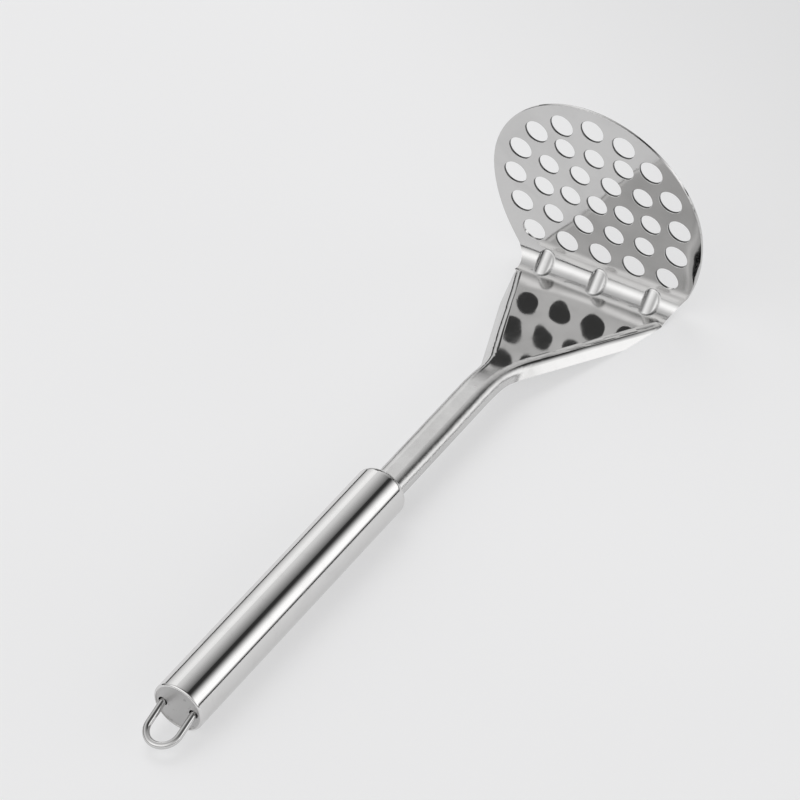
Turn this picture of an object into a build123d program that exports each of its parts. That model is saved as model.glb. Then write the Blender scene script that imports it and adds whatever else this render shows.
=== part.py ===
from build123d import *
from math import cos, radians, sin, tan
import os

# A stainless steel potato masher lying on its back: the mashing plate stands up at +Y,
# the handle runs towards -Y and the hanging loop is at its far end. Z = 0 is the table.

# head: one pressing of sheet steel
sheet = 1.0
sheet_edge_round = 0.25
overall_length = 260.0
plate_radius = 42.5
plate_centre_height = 29.1
plate_lean = 3.5
bend_radius = 7.2
bend_half_width = 35.6

# holes in the plate
large_hole = 9.0
small_hole = 8.1
ring_radius = 33.5
ring_step = 21.9
ring_holes_each_side = 5
base_row_height = -23.2
base_row_pitch = 13.7
base_row_holes = 5
inner_rows = [(-11.9, 12.4, 4), (-0.4, 10.9, 5), (10.8, 12.7, 4), (21.0, 11.9, 3)]

# three stiffening darts across the bend
dart_pitch = 21.8
dart_radius = 3.2
dart_straight = 8.0
dart_rise = 2.0
dart_blend = 1.2

# fan and stem: a channel whose flanks lean outwards along the fan and stand upright along the stem
fan_rise = 11.4
fan_foot_half_width = 29.8
side_slope = 23.5
flank_lean = 34.0
ridge_blend = 60.0
neck_blend = 26.0
stem_half_width = 6.3
stem_rise = 2.5
channel_depth = 4.5
rolled_edge = 4.2
floor_gap = 0.1

# handle
handle_drop = 0.9
tube_radius = 9.5
tube_wall = 0.8
tube_length = 120.0
shoulder_radius = 2.6
front_mouth_radius = 6.8
stem_insert = 34.0
rear_cap_thickness = 2.2
cap_flange = 0.9
cap_rim = 0.8
face_recess = 0.3
cap_round = 0.75
front_cap_thickness = 1.5
anchor_thickness = 2.0
anchor_depth = 30.0

# hanging loop
wire_radius = 1.25
loop_half_width = 6.0
loop_hole = 3.4
loop_reach = 15.3
loop_droop = 17.0
hook_depth = 3.6
hook_length = 3.4
hook_bend = 1.8

# solids that only trim or hollow another one
trim = 60.0
loft_above = 2.0
loft_below = 40.0
loft_behind = 190.0
hollow_depth = 15.0
facing_up = 25.0

outer_bend = bend_radius + sheet
loop_overhang = loop_reach * cos(radians(loop_droop + handle_drop)) + wire_radius - rear_cap_thickness / 2
back_y = (overall_length + loop_overhang) / 2

# directions in the mirror plane
plate_front = Vector(0, -cos(radians(plate_lean)), -sin(radians(plate_lean)))
plate_up = Vector(0, -sin(radians(plate_lean)), cos(radians(plate_lean)))
fan_out = Vector(0, -cos(radians(fan_rise)), sin(radians(fan_rise)))
fan_up = Vector(0, sin(radians(fan_rise)), cos(radians(fan_rise)))
handle_dir = Vector(0, cos(radians(handle_drop)), sin(radians(handle_drop)))
handle_up = Vector(0, -sin(radians(handle_drop)), cos(radians(handle_drop)))
loop_out = Vector(0, -cos(radians(loop_droop + handle_drop)), -sin(radians(loop_droop + handle_drop)))

# the bend rolls on the table under its own centre; the plate and the fan leave it as tangents
bend_centre = Vector(0, back_y - outer_bend, outer_bend)
plate_foot = bend_centre - plate_front * bend_radius
fan_foot = bend_centre - fan_up * bend_radius
rear_centre = Vector(0, back_y - overall_length, tube_radius)
front_centre = rear_centre + handle_dir * tube_length

# the top of the fan meets the top of the stem at the neck
stem_line = rear_centre + handle_up * stem_rise
offset_to_fan = fan_foot - stem_line
neck_distance = offset_to_fan.dot(handle_up) / -fan_out.dot(handle_up)
neck_point = fan_foot + fan_out * neck_distance
stem_end = front_centre + handle_up * stem_rise - handle_dir * stem_insert

side_plane = Plane(origin=(0, 0, 0), x_dir=(0, 1, 0), z_dir=(1, 0, 0))
plate_plane = Plane(origin=plate_foot, x_dir=(1, 0, 0), z_dir=plate_front)
handle_side = Plane(origin=rear_centre, x_dir=handle_dir, z_dir=(1, 0, 0))
rear_plane = Plane(origin=rear_centre, x_dir=(-1, 0, 0), z_dir=handle_dir)
handle_axis = Axis(rear_centre, handle_dir)
loop_pivot = rear_centre + handle_dir * (rear_cap_thickness / 2)
loop_plane = Plane(origin=loop_pivot, x_dir=(1, 0, 0), z_dir=Vector(1, 0, 0).cross(loop_out))


def side_point(point):
    """A point of the mirror plane in the sketch coordinates of side_plane."""
    return (point.Y, point.Z)


def hole_centres():
    """Centres of the large and of the small holes, measured from the middle of the plate."""
    large = []
    for step in range(-ring_holes_each_side, ring_holes_each_side + 1):
        angle = radians(90 + step * ring_step)
        large.append((ring_radius * cos(angle), ring_radius * sin(angle)))
    for column in range(base_row_holes):
        large.append(((column - (base_row_holes - 1) / 2) * base_row_pitch, base_row_height))
    small = []
    for height, pitch, count in inner_rows:
        for column in range(count):
            small.append(((column - (count - 1) / 2) * pitch, height))
    return large, small


def channel(inset, drop, depth):
    """Fan and stem as a solid bar with rolled top edges, inset and drop below the outer skin."""
    slope = tan(radians(side_slope))
    lean = tan(radians(flank_lean)) / cos(radians(side_slope))
    flank_inset = inset / cos(radians(side_slope)) / cos(radians(flank_lean))
    stem_half = stem_half_width - inset
    first = fan_foot - fan_up * drop
    turn = neck_point - fan_up * drop
    last = stem_end - handle_up * drop - handle_dir * inset
    with BuildPart() as bar:
        for level in (loft_above, -loft_below):
            foot_half = fan_foot_half_width - flank_inset - level * lean
            level_plane = Plane(origin=fan_foot + fan_up * level, x_dir=(1, 0, 0), z_dir=fan_up)
            neck_y = (stem_half - foot_half) / slope
            with BuildSketch(level_plane) as outline:
                with BuildLine():
                    Polyline(
                        (foot_half + slope * outer_bend, outer_bend),
                        (stem_half, neck_y),
                        (stem_half, -loft_behind),
                        (-stem_half, -loft_behind),
                        (-stem_half, neck_y),
                        (-foot_half - slope * outer_bend, outer_bend),
                        close=True,
                    )
                make_face()
                fillet(outline.vertices().group_by(Axis.Y)[1], neck_blend)
        loft(ruled=True)
        with BuildSketch(side_plane) as elevation:
            with BuildLine():
                Polyline(
                    side_point(first),
                    side_point(turn),
                    side_point(last),
                    side_point(last - handle_up * depth),
                    side_point(turn - fan_up * depth),
                    side_point(first - fan_up * depth),
                    close=True,
                )
            make_face()
            fillet(elevation.vertices().sort_by(Axis.X)[2:4], ridge_blend)
        extrude(amount=trim, both=True, mode=Mode.INTERSECT)
        tops = bar.faces().filter_by(lambda face: face.normal_at().Z > cos(radians(facing_up)))
        fillet(tops.edges().filter_by(Axis.X, reverse=True), rolled_edge - inset)
    return bar.part


def dart_capsule(column, radius):
    """One dart as a round-ended bar lying across the bend; the middle one is column 0."""
    across = (plate_up - fan_out).normalized()
    inward = (plate_up + fan_out).normalized()
    middle = bend_centre + inward * (dart_rise - dart_radius - bend_radius)
    centre = middle + Vector(column * dart_pitch, 0, 0)
    with BuildPart() as bar:
        with Locations(Plane(origin=centre, x_dir=(1, 0, 0), z_dir=across)):
            Cylinder(radius, dart_straight)
        with Locations(centre + across * dart_straight / 2, centre - across * dart_straight / 2):
            Sphere(radius)
    return bar.part


# everything in front of the outer skin at the bend, which is where a dart may show
with BuildPart() as inside_bend:
    with BuildSketch(side_plane):
        back_foot = plate_foot - plate_front * sheet
        fan_under = fan_foot - fan_up * sheet
        outer_middle = bend_centre - (plate_up + fan_out).normalized() * outer_bend
        with BuildLine():
            Line(side_point(back_foot + plate_up * outer_bend * 2), side_point(back_foot))
            ThreePointArc(side_point(back_foot), side_point(outer_middle), side_point(fan_under))
            Line(side_point(fan_under), side_point(fan_under + fan_out * outer_bend * 2))
            Line(
                side_point(fan_under + fan_out * outer_bend * 2),
                side_point(back_foot + plate_up * outer_bend * 2),
            )
        make_face()
    extrude(amount=bend_half_width, both=True)

# the bend, tapering from the width of the plate's foot to that of the fan's
with BuildPart() as bend_band:
    with BuildSketch(side_plane):
        with Locations(side_point(bend_centre)):
            Circle(outer_bend)
            Circle(bend_radius, mode=Mode.SUBTRACT)
        with BuildLine():
            Polyline(
                side_point(bend_centre),
                side_point(bend_centre - plate_front * 2 * outer_bend),
                side_point(bend_centre + Vector(0, 1, -1) * 2 * outer_bend),
                side_point(bend_centre - fan_up * 2 * outer_bend),
                close=True,
            )
        make_face(mode=Mode.INTERSECT)
    extrude(amount=bend_half_width, both=True)
    with BuildSketch(plate_plane):
        with BuildLine():
            Polyline(
                (bend_half_width, outer_bend),
                (bend_half_width, 0),
                (fan_foot_half_width, -outer_bend),
                (-fan_foot_half_width, -outer_bend),
                (-bend_half_width, 0),
                (-bend_half_width, outer_bend),
                close=True,
            )
        make_face()
    extrude(amount=trim, both=True, mode=Mode.INTERSECT)

# one pressing: plate, bend, fan and channel-shaped stem
large_centres, small_centres = hole_centres()
with BuildPart() as masher_head:
    # fan and stem: a rolled-edge bar hollowed from below and trimmed just clear of the table
    add(channel(0, 0, channel_depth))
    add(channel(sheet, sheet, hollow_depth), mode=Mode.SUBTRACT)
    split(bisect_by=Plane.XY.offset(floor_gap), keep=Keep.TOP)

    add(bend_band.part)

    # the perforated plate
    with BuildSketch(plate_plane):
        with BuildLine():
            right_side = TangentArc(
                (plate_radius, plate_centre_height), (bend_half_width, 0), tangent=(0, -1)
            )
            ThreePointArc(
                (plate_radius, plate_centre_height),
                (0, plate_centre_height + plate_radius),
                (-plate_radius, plate_centre_height),
            )
            mirror(right_side, about=Plane.YZ)
            Line((-bend_half_width, 0), (bend_half_width, 0))
        make_face()
        with Locations((0, plate_centre_height)):
            with Locations(*large_centres):
                Circle(large_hole / 2, mode=Mode.SUBTRACT)
            with Locations(*small_centres):
                Circle(small_hole / 2, mode=Mode.SUBTRACT)
    extrude(amount=-sheet)
    plate_faces = masher_head.faces().sort_by(SortBy.AREA)[-2:]
    fillet(plate_faces.edges().filter_by(GeomType.CIRCLE), sheet_edge_round)

    # the darts run softly into the bend in front and are hollow behind
    for column in range(-1, 2):
        add(dart_capsule(column, dart_radius).intersect(inside_bend.part))
        fillet(masher_head.edges(Select.NEW), dart_blend)
    for column in range(-1, 2):
        add(dart_capsule(column, dart_radius - sheet), mode=Mode.SUBTRACT)
masher_head.part.label = "masher_head"

# handle tube: plain at the loop end, drawn in to a rounded shoulder at the head end
with BuildPart() as handle_tube:
    with BuildSketch(handle_side) as wall:
        bore_radius = tube_radius - tube_wall
        with BuildLine():
            Polyline(
                (cap_flange, bore_radius),
                (cap_flange, tube_radius),
                (tube_length, tube_radius),
                (tube_length, front_mouth_radius),
                (tube_length - tube_wall, front_mouth_radius),
                (tube_length - tube_wall, bore_radius),
                close=True,
            )
        make_face()
        inner_corner = wall.vertices().group_by(Axis.Y)[1].sort_by(Axis.X)[-1]
        fillet(inner_corner, shoulder_radius - tube_wall)
        outer_corner = wall.vertices().group_by(Axis.Y)[-1].sort_by(Axis.X)[-1]
        fillet(outer_corner, shoulder_radius)
    revolve(axis=handle_axis)
handle_tube.part.label = "handle_tube"

# rear end cap: a flanged plug with a thin raised rim and the two holes of the loop
with BuildPart() as rear_end_cap:
    with BuildSketch(handle_side) as cap_section:
        face_radius = tube_radius - cap_rim
        with BuildLine():
            Polyline(
                (face_recess, 0),
                (face_recess, face_radius),
                (0, face_radius),
                (0, tube_radius),
                (cap_flange, tube_radius),
                (cap_flange, bore_radius),
                (rear_cap_thickness, bore_radius),
                (rear_cap_thickness, 0),
                close=True,
            )
        make_face()
        fillet(cap_section.vertices().group_by(Axis.Y)[-1].sort_by(Axis.X)[0], cap_round)
    revolve(axis=handle_axis)
    with BuildSketch(rear_plane):
        with Locations((-loop_half_width, 0), (loop_half_width, 0)):
            Circle(loop_hole / 2)
    extrude(amount=trim, both=True, mode=Mode.SUBTRACT)
rear_end_cap.part.label = "rear_end_cap"

# front end cap: a disc inside the drawn-in mouth, slotted to the outline of the stem
with BuildPart() as front_end_cap:
    with BuildSketch(rear_plane.offset(tube_length - face_recess - front_cap_thickness)):
        Circle(front_mouth_radius)
    extrude(amount=front_cap_thickness)
    add(channel(0, 0, channel_depth), mode=Mode.SUBTRACT)
front_end_cap.part.label = "front_end_cap"

# anchor disc: holds the tail of the stem on the centre line inside the tube
with BuildPart() as anchor_disc:
    with BuildSketch(rear_plane.offset(tube_length - anchor_depth - anchor_thickness / 2)):
        Circle(bore_radius)
    extrude(amount=anchor_thickness)
    add(channel(0, 0, channel_depth), mode=Mode.SUBTRACT)
anchor_disc.part.label = "anchor_disc"

# hanging loop: a bent wire whose inward hooks keep it in the holes of the rear cap
with BuildPart() as hanging_loop:
    straight_end = loop_reach - loop_half_width
    with BuildLine(loop_plane) as wire_line:
        leg = Polyline(
            (loop_half_width - hook_length, -hook_depth),
            (loop_half_width, -hook_depth),
            (loop_half_width, straight_end),
        )
        fillet(leg.vertices().sort_by_distance(leg @ 0)[1], hook_bend)
        mirror(about=Plane.YZ)
        ThreePointArc((loop_half_width, straight_end), (0, loop_reach), (-loop_half_width, straight_end))
    route = wire_line.wire()
    with BuildSketch(Plane(origin=route @ 0, z_dir=route % 0)):
        Circle(wire_radius)
    sweep(path=route)
hanging_loop.part.label = "hanging_loop"

os.makedirs("parts", exist_ok=True)
for piece in [masher_head, handle_tube, rear_end_cap, front_end_cap, anchor_disc, hanging_loop]:
    box = piece.part.bounding_box()
    print(piece.part.label, len(piece.part.solids()), round(piece.part.volume, 2), box.min, box.max)

export_step(masher_head.part, "parts/masher_head.step")
export_step(handle_tube.part, "parts/handle_tube.step")
export_step(rear_end_cap.part, "parts/rear_end_cap.step")
export_step(front_end_cap.part, "parts/front_end_cap.step")
export_step(anchor_disc.part, "parts/anchor_disc.step")
export_step(hanging_loop.part, "parts/hanging_loop.step")
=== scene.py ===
import bpy
from math import radians, sin, cos
from mathutils import Vector, Matrix


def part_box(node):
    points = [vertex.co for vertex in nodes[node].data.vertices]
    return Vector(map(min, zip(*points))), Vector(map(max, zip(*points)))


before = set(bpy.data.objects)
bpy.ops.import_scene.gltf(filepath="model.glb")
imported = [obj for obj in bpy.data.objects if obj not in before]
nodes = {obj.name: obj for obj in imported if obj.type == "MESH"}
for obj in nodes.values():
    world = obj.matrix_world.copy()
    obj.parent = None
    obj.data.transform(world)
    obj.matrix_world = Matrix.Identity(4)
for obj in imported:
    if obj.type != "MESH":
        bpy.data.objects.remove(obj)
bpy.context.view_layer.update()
bpy.ops.object.select_all(action="DESELECT")
scene = bpy.context.scene
scene.view_settings.view_transform = "Standard"  # whites stay white
print("frame loaded:", ", ".join(sorted(nodes)))


# a socket that can stand in a sum, so that shader maths reads as an expression
class Wire:
    def __init__(self, tree, socket=None):
        self.tree = tree
        self.socket = socket

    def node(self, kind, settings=None, values=None, output=0):
        made = self.tree.nodes.new(kind)
        for name, value in (settings or {}).items():
            setattr(made, name, value)
        for name, value in (values or {}).items():
            if isinstance(value, Wire):
                self.tree.links.new(value.socket, made.inputs[name])
            else:
                made.inputs[name].default_value = value
        return Wire(self.tree, made.outputs[output])

    def maths(self, operation, *values):
        return self.node("ShaderNodeMath", {"operation": operation}, dict(enumerate(values)))

    def __add__(self, other):
        return self.maths("ADD", self, other)

    def __radd__(self, other):
        return self.maths("ADD", other, self)

    def __sub__(self, other):
        return self.maths("SUBTRACT", self, other)

    def __rsub__(self, other):
        return self.maths("SUBTRACT", other, self)

    def __mul__(self, other):
        return self.maths("MULTIPLY", self, other)

    def __rmul__(self, other):
        return self.maths("MULTIPLY", other, self)

    def absolute(self):
        return self.maths("ABSOLUTE", self)

    # a noise as a change up and down about its middle
    def sway(self, amount):
        return (self - 0.5) * amount

    # 0 at low, 1 at high, level outside; soft eases both ends
    def ramp(self, low, high, soft=True):
        kind = "SMOOTHSTEP" if soft else "LINEAR"
        return self.node(
            "ShaderNodeMapRange",
            {"interpolation_type": kind},
            {"Value": self, "From Min": low, "From Max": high, "To Min": 0, "To Max": 1},
        )

    def vectorMaths(self, operation, *values, output="Vector"):
        return self.node("ShaderNodeVectorMath", {"operation": operation}, dict(enumerate(values)), output)

    def axis(self, vector, name):
        return self.node("ShaderNodeSeparateXYZ", None, {"Vector": vector}, name)

    def noise(self, place, scale, detail=3, roughness=0.5, distortion=0):
        values = {"Vector": place, "Scale": scale, "Detail": detail}
        values.update({"Roughness": roughness, "Distortion": distortion})
        return self.node("ShaderNodeTexNoise", None, values)

    # the piece's own coordinates, moved and stretched
    def place(self, stretch=(1, 1, 1), move=(0, 0, 0)):
        coordinates = self.node("ShaderNodeTexCoord", output="Object")
        return self.node(
            "ShaderNodeMapping",
            {"vector_type": "POINT"},
            {"Vector": coordinates, "Location": move, "Scale": stretch},
        )

    def bump(self, height, strength, distance, under=None):
        values = {"Height": height, "Strength": strength, "Distance": distance}
        if under is not None:
            values["Normal"] = under
        return self.node("ShaderNodeBump", None, values)

    def mixColour(self, share, first, second):
        made = self.tree.nodes.new("ShaderNodeMix")
        made.data_type = "RGBA"
        for number, value in ((0, share), (6, first), (7, second)):  # the factor and the two colours
            if isinstance(value, Wire):
                self.tree.links.new(value.socket, made.inputs[number])
            else:
                made.inputs[number].default_value = value
        return Wire(self.tree, made.outputs[2])


# a new steel material: the material, its shader and a start for its maths
def newSteel(name):
    material = bpy.data.materials.new(name)
    material.use_nodes = True
    shader = material.node_tree.nodes["Principled BSDF"]
    shader.inputs["Metallic"].default_value = 1
    return material, shader, Wire(material.node_tree)


def connect(shader, **wires):
    names = {"colour": "Base Color", "roughness": "Roughness", "normal": "Normal"}
    for name, wire in wires.items():
        wire.tree.links.new(wire.socket, shader.inputs[names[name]])


def dress(nodeName, material):
    for slot in nodes[nodeName].material_slots:
        slot.material = material


# camera: a long lens above the loop end, a little to the right
cameraSettings = {
    "target": (-0.0195, 0.0370, 0.0120),
    "azimuth": 35.46,
    "elevation": 40.79,
    "roll": 3.33,
    "distance": 1.638,
    "lens": 215.7,
    "sensor": 36,
    "clipEnd": 50,
}


def addCamera(c):
    a, e = radians(c["azimuth"]), radians(c["elevation"])
    back = Vector((sin(a) * cos(e), -cos(a) * cos(e), sin(e)))
    bpy.ops.object.camera_add(location=Vector(c["target"]) + back * c["distance"])
    camera = bpy.context.active_object
    camera.name = "camera"
    camera.data.lens = c["lens"]
    camera.data.sensor_width = c["sensor"]
    camera.data.clip_end = c["clipEnd"]
    turn = back.to_track_quat("Z", "Y").to_matrix() @ Matrix.Rotation(-radians(c["roll"]), 3, "Z")
    camera.rotation_euler = turn.to_euler()
    scene.camera = camera


addCamera(cameraSettings)
print("camera placed")

# below, a Bump is a strength and a depth in metres, and a Reach or Turn is the two ends of a ramp

# head: mirror polished where it was pressed, satin along the stem, dull in the punched holes, whose walls
# are also painted near black as painted shade
headSettings = {
    "polished": (0.64, 0.636, 0.632, 1),
    # painted shade for the walls of the holes
    "dull": (0.55, 0.546, 0.542, 1),
    "paintedHoleShade": (0.10, 0.10, 0.10, 1),
    "mirrorRoughness": 0.05,
    "stemRoughness": 0.25,
    "satinFrom": 0.054,  # the satin finish ends between these two places along the head
    "satinTo": 0.072,
    "satinSideReach": 0.016,  # how much further it goes on faces that look sideways
    "satinEdge": {"scale": 90, "detail": 3},
    "satinEdgeSway": 0.02,
    "satinDullShare": 0.2,
    "sideTurn": (0.35, 0.75),
    "plateFacing": (0, 0.998, 0.061),
    "plateMiddle": (0, 0.134, 0.0377),
    "plateFrom": 0.0092,
    "plateFade": 0.0005,
    "holesWithin": 0.0385,
    "holesFade": 0.001,
    "wallTurn": (0.45, 0.75),
    "wallRoughness": 0.4,
    "bendTopReach": (0.008, 0.011),
    "bendAlongReach": (0.120, 0.128),
    "bendHaze": 0.09,
    "smudges": {"scale": 55, "detail": 4, "roughness": 0.6, "distortion": 0.8},
    "smudgeReach": (0.45, 0.75),
    "smudgeRoughness": 0.05,
    "smudgeDullReach": (0.35, 0.8),
    "smudgeDullShare": 0.5,
    "lines": {"scale": 1, "detail": 3, "roughness": 0.6},
    "lineStretch": (900, 12, 900),  # the lines run along the head
    "lineReach": (0.5, 0.8),
    "lineRoughness": 0.03,
    "lineBump": (0.12, 0.00002),
    "specks": {"scale": 1400, "detail": 2, "roughness": 0.7},
    "speckBump": (0.35, 0.00002),
    "blotches": {"scale": 240, "detail": 4, "roughness": 0.7},
    "blotchSway": 0.2,
    "waves": {"scale": 36, "detail": 1, "roughness": 0.3},
    "waveBump": (1, 0.0008),
    "ripples": {"scale": 85, "detail": 1, "roughness": 0.4},
    "rippleBump": (1, 0.0001),
}


def makeHeadSteel(h):
    material, shader, start = newSteel("pressedSteel")
    bare = start.place()
    along = start.axis(bare, "Y")
    height = start.axis(bare, "Z")
    facing = start.node("ShaderNodeTexCoord", output="Normal")

    sideways = start.axis(facing, "X").absolute().ramp(*h["sideTurn"])
    edge = start.noise(bare, **h["satinEdge"])
    reach = along - sideways * h["satinSideReach"] + edge.sway(h["satinEdgeSway"])
    satin = 1 - reach.ramp(h["satinFrom"], h["satinTo"])

    # the cut walls of the holes face along the plate instead of out of it; they get more roughness and a
    # painted shade
    out = start.vectorMaths("DOT_PRODUCT", facing, h["plateFacing"], output="Value")
    away = start.vectorMaths("DISTANCE", bare, h["plateMiddle"], output="Value")
    abovePlateFoot = height.ramp(h["plateFrom"], h["plateFrom"] + h["plateFade"])
    amongHoles = 1 - away.ramp(h["holesWithin"], h["holesWithin"] + h["holesFade"])
    cut = (1 - out.absolute().ramp(*h["wallTurn"])) * (abovePlateFoot * amongHoles)

    smudges = start.noise(bare, **h["smudges"])
    lines = start.noise(start.place(h["lineStretch"]), **h["lines"])
    specks = start.noise(bare, **h["specks"])
    blotches = start.noise(bare, **h["blotches"])
    mirror = h["mirrorRoughness"] + smudges.ramp(*h["smudgeReach"]) * h["smudgeRoughness"]
    mirror = mirror + lines.ramp(*h["lineReach"]) * h["lineRoughness"]
    matt = h["stemRoughness"] + blotches.sway(h["blotchSway"])
    bend = (1 - height.ramp(*h["bendTopReach"])) * along.ramp(*h["bendAlongReach"])
    roughness = mirror + satin * (matt - mirror) + cut * h["wallRoughness"] + bend * h["bendHaze"]

    dullShare = smudges.ramp(*h["smudgeDullReach"]) * h["smudgeDullShare"] + satin * h["satinDullShare"]
    colour = start.mixColour(dullShare, h["polished"], h["dull"])
    # the hole walls are painted dark: painted shade in the holes, not the steel's own colour
    colour = start.mixColour(cut, colour, h["paintedHoleShade"])

    normal = start.bump(start.noise(bare, **h["waves"]), *h["waveBump"])
    normal = start.bump(start.noise(bare, **h["ripples"]), *h["rippleBump"], normal)
    normal = start.bump(lines, *h["lineBump"], normal)
    normal = start.bump(specks * satin, *h["speckBump"], normal)
    connect(shader, colour=colour, roughness=roughness, normal=normal)
    return material


dress("masher_head", makeHeadSteel(headSettings))
print("head dressed")

# tube: polished, with faint lines around it and a few handling marks
tubeSettings = {
    "colour": (0.70, 0.695, 0.69, 1),
    "dull": (0.60, 0.595, 0.59, 1),
    "roughness": 0.085,
    "lines": {"scale": 1, "detail": 4, "roughness": 0.65},
    "lineStretch": (120, 2600, 120),
    "lineSway": 0.05,
    "lineBump": (0.12, 0.00002),
    "marks": {"scale": 120, "detail": 4, "roughness": 0.65, "distortion": 0.6},
    "markReach": (0.5, 0.8),
    "markRoughness": 0.07,
    "markDullReach": (0.45, 0.85),
    "markDullShare": 0.5,
    "specks": {"scale": 1800, "detail": 2, "roughness": 0.7},
    "speckBump": (0.08, 0.00001),
}


def makeTubeSteel(t):
    material, shader, start = newSteel("tubeSteel")
    bare = start.place()
    lines = start.noise(start.place(t["lineStretch"]), **t["lines"])
    marks = start.noise(bare, **t["marks"])
    specks = start.noise(bare, **t["specks"])
    roughness = t["roughness"] + marks.ramp(*t["markReach"]) * t["markRoughness"] + lines.sway(t["lineSway"])
    colour = start.mixColour(marks.ramp(*t["markDullReach"]) * t["markDullShare"], t["colour"], t["dull"])
    normal = start.bump(lines, *t["lineBump"])
    normal = start.bump(specks, *t["speckBump"], normal)
    connect(shader, colour=colour, roughness=roughness, normal=normal)
    return material


dress("handle_tube", makeTubeSteel(tubeSettings))
print("tube dressed")

# end caps: matt turned faces with polished rims; each rim is also coloured lighter as a painted highlight
capSettings = {
    "matt": (0.51, 0.506, 0.502, 1),
    # the rim's lighter colour is a painted highlight
    "paintedRimHighlight": (0.72, 0.715, 0.71, 1),
    "stain": (0.2, 0.2, 0.2, 1),
    "roughness": 0.34,
    "rimPolish": 0.24,
    "rimFrom": 0.0011,  # the polished rim starts between these two distances in from the edge
    "rimTo": 0.0007,
    "ringsPerMetre": 5200,
    "rings": {"scale": 1, "detail": 2, "roughness": 0.6},
    "ringSway": 0.12,
    "ringBump": (0.3, 0.00003),
    "spots": {"scale": 520, "detail": 3, "roughness": 0.7},
    "spotReach": (0.62, 0.72),
    "spotBump": (0.2, 0.00003),
    "stainShare": 0.55,
}


def makeCapSteel(c, name, nodeName):
    material, shader, start = newSteel(name)
    low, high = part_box(nodeName)
    middle = (low + high) / 2
    bare = start.place()
    centred = start.place(move=(-middle.x, 0, -middle.z))
    flat = start.vectorMaths("MULTIPLY", centred, (1, 0, 1))
    radius = start.vectorMaths("LENGTH", flat, output="Value")
    rimRadius = (high.x - low.x) / 2
    rim = radius.ramp(rimRadius - c["rimFrom"], rimRadius - c["rimTo"])
    rings = start.noise(radius * c["ringsPerMetre"], **c["rings"])
    spots = start.noise(bare, **c["spots"])
    stain = spots.ramp(*c["spotReach"]) * (1 - rim)
    roughness = c["roughness"] + rings.sway(c["ringSway"]) - rim * c["rimPolish"]
    # the rim is coloured lighter: a painted highlight on top of its real polish
    colour = start.mixColour(rim, c["matt"], c["paintedRimHighlight"])
    colour = start.mixColour(stain * c["stainShare"], colour, c["stain"])
    normal = start.bump(rings * (1 - rim), *c["ringBump"])
    normal = start.bump(spots, *c["spotBump"], normal)
    connect(shader, colour=colour, roughness=roughness, normal=normal)
    return material


dress("rear_end_cap", makeCapSteel(capSettings, "rearCapSteel", "rear_end_cap"))
dress("front_end_cap", makeCapSteel(capSettings, "frontCapSteel", "front_end_cap"))
print("caps dressed")

# anchor disc: plain mill finish, out of sight inside the tube
discSettings = {
    "colour": (0.5, 0.495, 0.49, 1),
    "roughness": 0.35,
    "millScale": {"scale": 300, "detail": 4, "roughness": 0.6},
    "millRoughness": 0.2,
    "millBump": (0.3, 0.00005),
}


def makeDiscSteel(d):
    material, shader, start = newSteel("millSteel")
    millScale = start.noise(start.place(), **d["millScale"])
    roughness = d["roughness"] + millScale * d["millRoughness"]
    connect(shader, roughness=roughness, normal=start.bump(millScale, *d["millBump"]))
    shader.inputs["Base Color"].default_value = d["colour"]
    return material


dress("anchor_disc", makeDiscSteel(discSettings))
print("disc dressed")

# hanging loop: bright drawn wire
wireSettings = {
    "colour": (0.64, 0.636, 0.632, 1),
    "worn": (0.42, 0.416, 0.412, 1),
    "roughness": 0.05,
    "drawn": {"scale": 1, "detail": 3, "roughness": 0.6},
    "drawnStretch": (500, 60, 500),
    "drawnSway": 0.03,
    "drawnBump": (0.15, 0.00002),
    "wear": {"scale": 180, "detail": 3, "roughness": 0.6},
    "wearReach": (0.5, 0.8),
    "wearRoughness": 0.08,
    "wearColourReach": (0.5, 0.85),
    "wearColourShare": 0.5,
}


def makeWireSteel(w):
    material, shader, start = newSteel("wireSteel")
    bare = start.place()
    drawn = start.noise(start.place(w["drawnStretch"]), **w["drawn"])
    wear = start.noise(bare, **w["wear"])
    roughness = w["roughness"] + wear.ramp(*w["wearReach"]) * w["wearRoughness"] + drawn.sway(w["drawnSway"])
    wearColour = wear.ramp(*w["wearColourReach"]) * w["wearColourShare"]
    colour = start.mixColour(wearColour, w["colour"], w["worn"])
    connect(shader, colour=colour, roughness=roughness, normal=start.bump(drawn, *w["drawnBump"]))
    return material


dress("hanging_loop", makeWireSteel(wireSettings))
print("loop dressed")

# sky: soft boxes and a dark flag, each a bright or dark patch of direction; reach runs from its edge inwards
skySettings = {
    "base": 0.035,
    "leftBox": {"at": (-0.566, 0.617, 0.547), "reach": (0.98, 0.0), "light": 1.22, "soft": False},
    "leftBoxEdge": (0.31, 0.25),
    "rightBox": {"at": (0.85, 0.45, 0.15), "reach": (0.72, 0.25), "light": 1.4, "stretch": (1, 0.6, 1)},
    "frontBox": {"at": (-0.439, -0.688, 0.577), "reach": (0.94, 0.1), "light": 1.42, "soft": False},
    "fillBox": {"at": (0.5, -0.7, 0.5), "reach": (1.0, 0.2), "light": 0.7},
    "flag": {"at": (-0.439, 0.822, 0.363), "reach": (0.25, 0.14), "light": 0.05},
    "horizon": (0.03, 0.19),
    "strength": 1,
}


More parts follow.
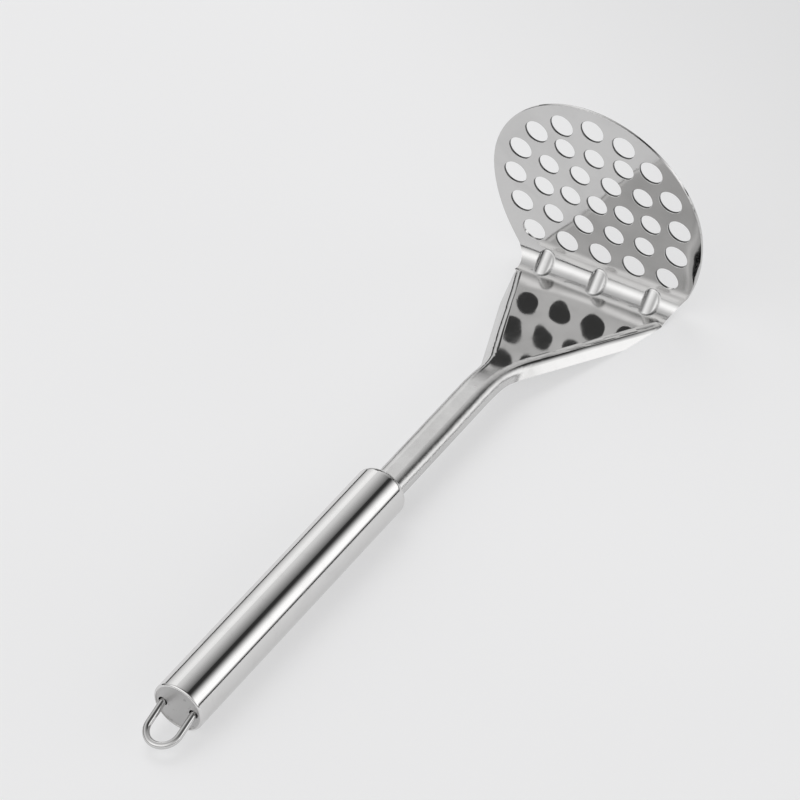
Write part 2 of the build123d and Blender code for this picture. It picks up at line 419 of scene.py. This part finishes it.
def addSky(s):
    world = bpy.data.worlds.new("studio")
    scene.world = world
    world.use_nodes = True
    tree = world.node_tree
    start = Wire(tree)
    view = start.node("ShaderNodeTexCoord", output="Generated")
    side = start.axis(view, "X")
    height = start.axis(view, "Z")

    def patch(p):
        gap = start.vectorMaths("SUBTRACT", view, Vector(p["at"]))
        gap = start.vectorMaths("MULTIPLY", gap, p.get("stretch", (1, 1, 1)))
        far = start.vectorMaths("LENGTH", gap, output="Value")
        return far.ramp(*p["reach"], p.get("soft", True))

    light = s["base"] + patch(s["leftBox"]) * s["leftBox"]["light"] * side.ramp(*s["leftBoxEdge"])
    for name in ("rightBox", "frontBox", "fillBox"):
        light = light + patch(s[name]) * s[name]["light"]
    light = light + patch(s["flag"]) * (s["flag"]["light"] - light)
    light = light * height.ramp(*s["horizon"])
    background = tree.nodes["Background"]
    tree.links.new(light.socket, background.inputs["Color"])
    background.inputs["Strength"].default_value = s["strength"]


addSky(skySettings)

# table: pale and glowing a little, with painted shade darkening it towards the far side
tableSettings = {
    "size": 4,
    "colour": (0.42, 0.42, 0.423, 1),
    # the colour of the painted shade on the far side, also reached in places by the random clouds
    "shade": (0.26, 0.26, 0.262, 1),
    "roughness": 0.55,
    "specular": 0.2,
    "glowColour": (1, 1, 1.005, 1),
    "glow": 0.48,
    "darkSide": (0.45, 0.89, 0),
    "darkFrom": (0.1, 0.32),
    "darkShare": 0.8,
    "clouds": {"scale": 5, "detail": 2},
    "cloudShare": 0.2,
    "grain": {"scale": 900, "detail": 2},
    "grainBump": (0.05, 0.00005),
}


def addTable(t):
    bpy.ops.mesh.primitive_plane_add(size=t["size"], location=(0, 0, 0))
    table = bpy.context.active_object
    table.name = "table"
    material = bpy.data.materials.new("paleTable")
    material.use_nodes = True
    shader = material.node_tree.nodes["Principled BSDF"]
    start = Wire(material.node_tree)
    bare = start.place()
    far = start.vectorMaths("DOT_PRODUCT", bare, t["darkSide"], output="Value")
    # painted shade towards the far side, plus clouds that vary the tone at random
    shade = start.noise(bare, **t["clouds"]) * t["cloudShare"] + far.ramp(*t["darkFrom"]) * t["darkShare"]
    colour = start.mixColour(shade, t["colour"], t["shade"])
    grain = start.noise(bare, **t["grain"])
    connect(shader, colour=colour, normal=start.bump(grain, *t["grainBump"]))
    shader.inputs["Roughness"].default_value = t["roughness"]
    shader.inputs["Emission Color"].default_value = t["glowColour"]
    shader.inputs["Emission Strength"].default_value = t["glow"]
    shader.inputs["Specular IOR Level"].default_value = t["specular"]
    table.data.materials.append(material)


addTable(tableSettings)

# key lamp: softens the shadows and stays out of the reflections
keySettings = {"at": (-0.55, 0.5, 1.7), "aim": (0, 0.03, 0), "size": 1.4, "energy": 6.5}


def addKeyLamp(k):
    bpy.ops.object.light_add(type="AREA", location=k["at"])
    lamp = bpy.context.active_object
    lamp.name = "keyLamp"
    lamp.data.shape = "DISK"
    lamp.data.size = k["size"]
    lamp.data.energy = k["energy"]
    lamp.visible_glossy = False
    towards = Vector(k["at"]) - Vector(k["aim"])
    lamp.rotation_euler = towards.to_track_quat("Z", "Y").to_euler()


addKeyLamp(keySettings)
print("studio lit")
